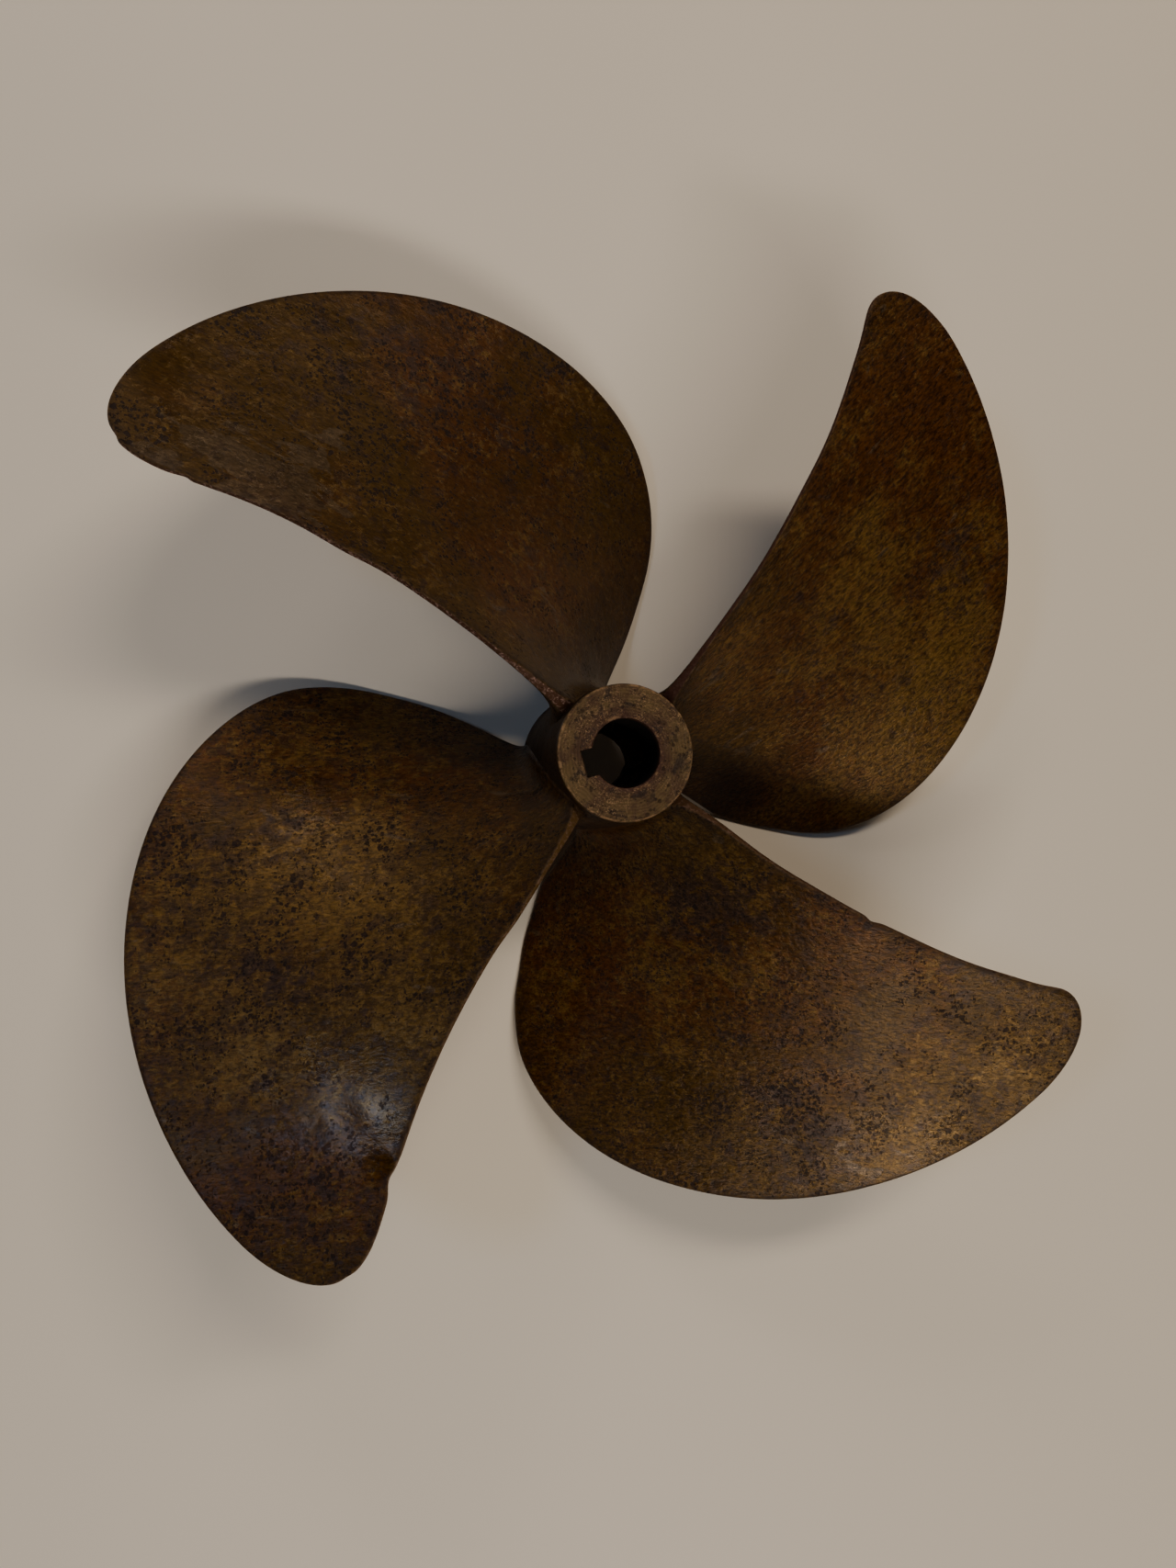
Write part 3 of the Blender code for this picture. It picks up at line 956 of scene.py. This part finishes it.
def edges_darkened(tree, place, fields, grain, colour):
    """The colour with the grain's lines, painted shade by the root and in patches, and darker edges.
    """
    strength = lifted(tree, 0.5, (fields["ridged"], 0.6))
    lines = lifted(tree, 1.0, (between(tree, grain, 0.44, 0.76, -0.62, 0.66), strength))
    colour = shaded(tree, colour, lines)
    # painted shade: darker towards the hub, down to 0.74 of the colour
    colour = shaded(tree, colour, between(tree, fields["radius"], 0.034, 0.08, 0.74, 1.0))
    rim = product(tree, between(tree, fields["edge_gap"], 0.006, 0.0),
                  between(tree, cloud(tree, place, 180, 5, 0.7), 0.36, 0.6), 0.6)
    # painted shade: the patches of painted shade darken the colour towards DARK
    painted_shade_mask = between(tree, fields["painted_shade"], 0.3, 0.9, 0.0, 0.85)
    return mix(tree, math_node(tree, "MAXIMUM", rim, painted_shade_mask), colour, DARK)


def bronze_skin(tree):
    """The patina of the whole casting: the places that it reads, its colour, its roughness and its
    height in metres."""
    place = add(tree, "ShaderNodeTexCoord").outputs["Object"]
    grain_place = attribute(tree, "grain_place", "Vector")
    fields = {name: attribute(tree, name) for name in
              (*KINDS, "flecked", "ridged", "radius", "edge_gap", "side")}
    colour, flecks = brown_and_gold(tree, place, fields)
    colour, stain_and_sheen = stains_and_clouds(tree, place, grain_place, fields, colour)
    pitted = casting_pits(tree, place, fields, stain_and_sheen)
    ridges, grain = grain_lines(tree, grain_place)
    colour = mix(tree, pitted, colour, DARK)
    colour = edges_darkened(tree, place, fields, grain, colour)

    rough = lifted(tree, between(tree, cloud(tree, place, 40, 4), 0.3, 0.7, 0.295, 0.405),
                   (between(tree, fields["side"], 0.9, 1.0), 0.22), (stain_and_sheen, -0.05),
                   (fields["polished"], -0.16), (pitted, 0.22),
                   (between(tree, fields["edge_gap"], 0.003, 0.0), 0.25))
    height = lifted(tree, product(tree, grain, 0.00012),
                    (product(tree, ridges, fields["ridged"]), 0.0003), (pitted, -0.00016),
                    (flecks, 0.00004), (cloud(tree, place, 170, 3), 0.00028))
    height = product(tree, height, between(tree, fields["polished"], 0.2, 1.0, 1.0, 0.2))
    return place, colour, rough, height


def finish_bronze(tree, shader, colour, rough, height):
    """Put colour, roughness and height into the shader. The skin is an oxide, so it shines as
    varnish does, and only a little as bare metal."""
    bump = add(tree, "ShaderNodeBump", {"Height": height, "Strength": 1.0, "Distance": 1.0})
    tree.links.new(colour, shader.inputs["Base Color"])
    tree.links.new(rough, shader.inputs["Roughness"])
    tree.links.new(bump.outputs["Normal"], shader.inputs["Normal"])
    shader.inputs["Metallic"].default_value = METALLIC
    shader.inputs["IOR"].default_value = IOR


print("metallic", METALLIC, "and IOR", IOR)

# %% [markdown]
# The blunt trailing edge has a finish of its own on each blade: golden on one, brown on another,
# and scuffed to a pinkish bright metal on a third. Right on the sharp corners the skin is worn
# thin in short stretches.

# %% The blades' finish
STRIP_BROWN = (0.055, 0.018, 0.009, 1.0)
STRIP_GOLD = (0.11, 0.055, 0.013, 1.0)
SCUFFED = (0.34, 0.2, 0.15, 1.0)
WORN_CORNER = (0.13, 0.075, 0.036, 1.0)

bronze, tree, shader = new_material("old_bronze")
place, colour, rough, height = bronze_skin(tree)
side = attribute(tree, "side")
strip = product(tree, between(tree, side, 0.03, 0.12), between(tree, side, 0.97, 0.88),
                attribute(tree, "trailing"))
strip_colour = mix(tree, attribute(tree, "edge_gold"), STRIP_BROWN, STRIP_GOLD)
scuff = product(tree, between(tree, cloud(tree, place, 620, 4, 0.7, 0.8), 0.5, 0.64), strip,
                attribute(tree, "edge_scuff"))
corner = product(tree, between(tree, attribute(tree, "edge_gap"), 0.0011, 0.0003),
                 between(tree, cloud(tree, place, 420, 4, 0.7), 0.42, 0.62),
                 math_node(tree, "SUBTRACT", 1.0, strip))
colour = covered(tree, colour, (strip, 0.8, strip_colour), (scuff, 0.7, SCUFFED),
                 (corner, 0.6, WORN_CORNER))
finish_bronze(tree, shader, colour, rough, height)
for piece in blades.values():
    piece.data.materials.append(bronze)
print(bronze.name, "nodes:", len(tree.nodes))

# %% [markdown]
# The hub's aft face was turned on a lathe, and has been handled and scraped since. So it has fine
# rings round the bore, a lighter and redder brown, and bright scratches in patches. The rings are
# a sine of the distance from the axis, shifted a little by noise.

# %% The hub's turned face
FACE_BROWN = (0.075, 0.038, 0.018, 1.0)
FACE_GOLD = (0.122, 0.073, 0.027, 1.0)
FACE_RED = (0.05, 0.0195, 0.012, 1.0)
FACE_STAIN = (0.023, 0.014, 0.0115, 1.0)
FACE_PIT = (0.012, 0.006, 0.004, 1.0)
SCRATCH = (0.34, 0.2, 0.09, 1.0)
BRIGHT_EDGE = (0.34, 0.19, 0.085, 1.0)

turned_bronze, tree, shader = new_material("turned_bronze")
place, colour, rough, height = bronze_skin(tree)
parts = add(tree, "ShaderNodeSeparateXYZ", {"Vector": place}).outputs
across = add(tree, "ShaderNodeCombineXYZ", {"X": parts["X"], "Y": parts["Y"]}).outputs[0]
from_centre = add(tree, "ShaderNodeVectorMath", {0: across}, operation="LENGTH").outputs["Value"]
rings = lifted(tree, product(tree, from_centre, 4200), (cloud(tree, place, 70, 3), 26.0))
rings = math_node(tree, "SINE", rings)

face = mix(tree, between(tree, cloud(tree, place, 95, 6, 0.7, 0.5), 0.4, 0.62), FACE_BROWN,
           FACE_GOLD)
stains = between(tree, cloud(tree, place, 130, 6, 0.72, 0.6), 0.54, 0.62)
face_pits = pits(tree, place, 560, between(tree, cloud(tree, place, 120, 3), 0.4, 0.6, 0.5, 1.2))
scratches = product(tree, between(tree, cloud(tree, place, 680, 4, 0.72, 1.6), 0.54, 0.62),
                    between(tree, cloud(tree, place, 85, 3), 0.4, 0.54))
face = covered(tree, face, (between(tree, from_centre, 0.0225, 0.0185), 0.55, FACE_RED),
               (stains, 0.75, FACE_STAIN), (face_pits, 0.6, FACE_PIT), (scratches, 0.85, SCRATCH))
face = shaded(tree, face, between(tree, rings, -1.0, 1.0, 0.88, 1.12))
rim = product(tree, between(tree, from_centre, 0.0291, 0.03),
              between(tree, cloud(tree, place, 210, 5, 0.7), 0.44, 0.6))
face = covered(tree, face, (rim, 0.85, BRIGHT_EDGE))
print(turned_bronze.name, "nodes so far:", len(tree.nodes))

# %% [markdown]
# The face is laid over the common skin where the height says that it is the aft face. Below its
# rim the flank is rougher, and darkened by painted shade. The bore's mouth is reddish with bright
# chips, and inside, the bore is painted nearly black: painted shade for the lack of light there.

# %% The hub's flank, mouth and bore
MOUTH_BROWN = (0.07, 0.028, 0.018, 1.0)
BORE_BLACK = (0.008, 0.0045, 0.003, 1.0)

on_face = between(tree, parts["Z"], aft_face - 0.0012, aft_face - 0.0004)
# the flank below the aft rim: rougher, and painted shade towards DARK
flank = between(tree, parts["Z"], aft_face - 0.0005, aft_face - 0.004)
# painted shade: the inside of the bore is painted nearly black
inside = product(tree, between(tree, from_centre, 0.0235, 0.0225),
                 between(tree, parts["Z"], aft_face - 0.0015, aft_face - 0.006))
chips = product(tree, between(tree, from_centre, 0.0154, 0.0158),
                between(tree, from_centre, 0.017, 0.0164),
                between(tree, cloud(tree, place, 260, 4, 0.7), 0.52, 0.6), on_face)
mouth = between(tree, from_centre, 0.0175, 0.016)
colour = mix(tree, on_face, covered(tree, colour, (flank, 0.5, DARK)), face)
colour = covered(tree, colour, (mouth, 0.6, MOUTH_BROWN), (chips, 0.5, BRIGHT_EDGE))
colour = mix(tree, inside, colour, BORE_BLACK)
rough = lifted(tree, rough, (flank, 0.3), (product(tree, scratches, on_face), -0.1))
rough = math_node(tree, "MAXIMUM", rough, product(tree, inside, 0.8))
face_height = lifted(tree, product(tree, cloud(tree, place, 620, 5, 0.7, 0.8), 0.0007),
                     (rings, 0.00002), (face_pits, -0.0002))
height = lifted(tree, height, (face_height, on_face))
finish_bronze(tree, shader, colour, rough, height)
hub.data.materials.append(turned_bronze)

for piece in [hub, *blades.values()]:
    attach(piece, "root")
    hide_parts("propeller")
print("materials:", [material.name for material in (bronze, turned_bronze)])

# %% [markdown]
# ## Floor, lamps and room
#
# The propeller lies on a plain pale floor, on the front edges of its blades. Two long lamps hang
# beyond the two ends of the picture, as in a workshop, so the faces of the blades stay dark and
# show only a soft sheen where they turn towards a lamp. A small cool window adds the bluish sheen
# near one tip, and a small warm lamp fills in from one side. The room is darker overhead than
# around, because a blade that faces straight up should mirror little.

# %% The floor
FLOOR_HALF = 4
FLOOR_COOL = (0.8, 0.685, 0.535, 1.0)
FLOOR_WARM = (0.84, 0.725, 0.575, 1.0)

corners = [(x * FLOOR_HALF, y * FLOOR_HALF, 0) for x, y in ((-1, -1), (1, -1), (1, 1), (-1, 1))]
floor_mesh = bpy.data.meshes.new("floor")
floor_mesh.from_pydata(corners, [], [(0, 1, 2, 3)])
floor = bpy.data.objects.new("floor", floor_mesh)
bpy.context.scene.collection.objects.link(floor)
paint, tree, shader = new_material("pale_floor")
place = add(tree, "ShaderNodeTexCoord").outputs["Object"]
tone = mix(tree, cloud(tree, place, 3, 2), FLOOR_COOL, FLOOR_WARM)
tree.links.new(tone, shader.inputs["Base Color"])
shader.inputs["Roughness"].default_value = 0.6
floor_mesh.materials.append(paint)
print("floor in m:", 2 * FLOOR_HALF)

# %% The room
ROOM_AROUND = (0.36, 0.35, 0.34, 1.0)
ROOM_OVERHEAD = (0.016, 0.015, 0.014, 1.0)
ROOM_STRENGTH = 0.6

world = bpy.data.worlds.new("room")
world.use_nodes = True
tree = world.node_tree
direction = add(tree, "ShaderNodeTexCoord").outputs["Generated"]
upward = add(tree, "ShaderNodeSeparateXYZ", {0: direction}).outputs["Z"]
sky = mix(tree, between(tree, upward, 0.02, 0.3), ROOM_AROUND, ROOM_OVERHEAD)
tree.links.new(sky, tree.nodes["Background"].inputs["Color"])
tree.nodes["Background"].inputs["Strength"].default_value = ROOM_STRENGTH
bpy.context.scene.world = world
print("room strength:", ROOM_STRENGTH)

# %% The lamps
# (name, place, direction of the long side in degrees, length, width, power in watts, colour)
LAMPS = [
    ("near_lamp", (0.2, 1.43, 1.6), 164, 1.5, 0.24, 19.5, (1.0, 0.94, 0.87)),
    ("far_lamp", (-0.87, -1.02, 1.9), 171, 1.25, 0.28, 19, (1.0, 0.89, 0.76)),
    ("window", (1.024, -0.455, 1.33), 60, 0.3, 0.2, 2.9, (0.42, 0.62, 1.0)),
    ("desk_lamp", (0.18, -1.518, 0.92), 175, 0.45, 0.3, 3.3, (1.0, 0.93, 0.86)),
]
for name, place, direction, length, width, power, colour in LAMPS:
    lamp_data = bpy.data.lights.new(name, "AREA")
    lamp_data.shape = "RECTANGLE"
    lamp_data.size, lamp_data.size_y = length, width
    lamp_data.energy = power
    lamp_data.color = colour
    lamp = bpy.data.objects.new(name, lamp_data)
    away = Vector(place).normalized()
    turn = math.radians(direction)
    across = away.cross(Vector((math.cos(turn), math.sin(turn), 0.0))).normalized()
    lamp.matrix_world = Matrix((across.cross(away), across, away)).transposed().to_4x4()
    lamp.location = place
    bpy.context.scene.collection.objects.link(lamp)
print("lamps:", [lamp[0] for lamp in LAMPS])
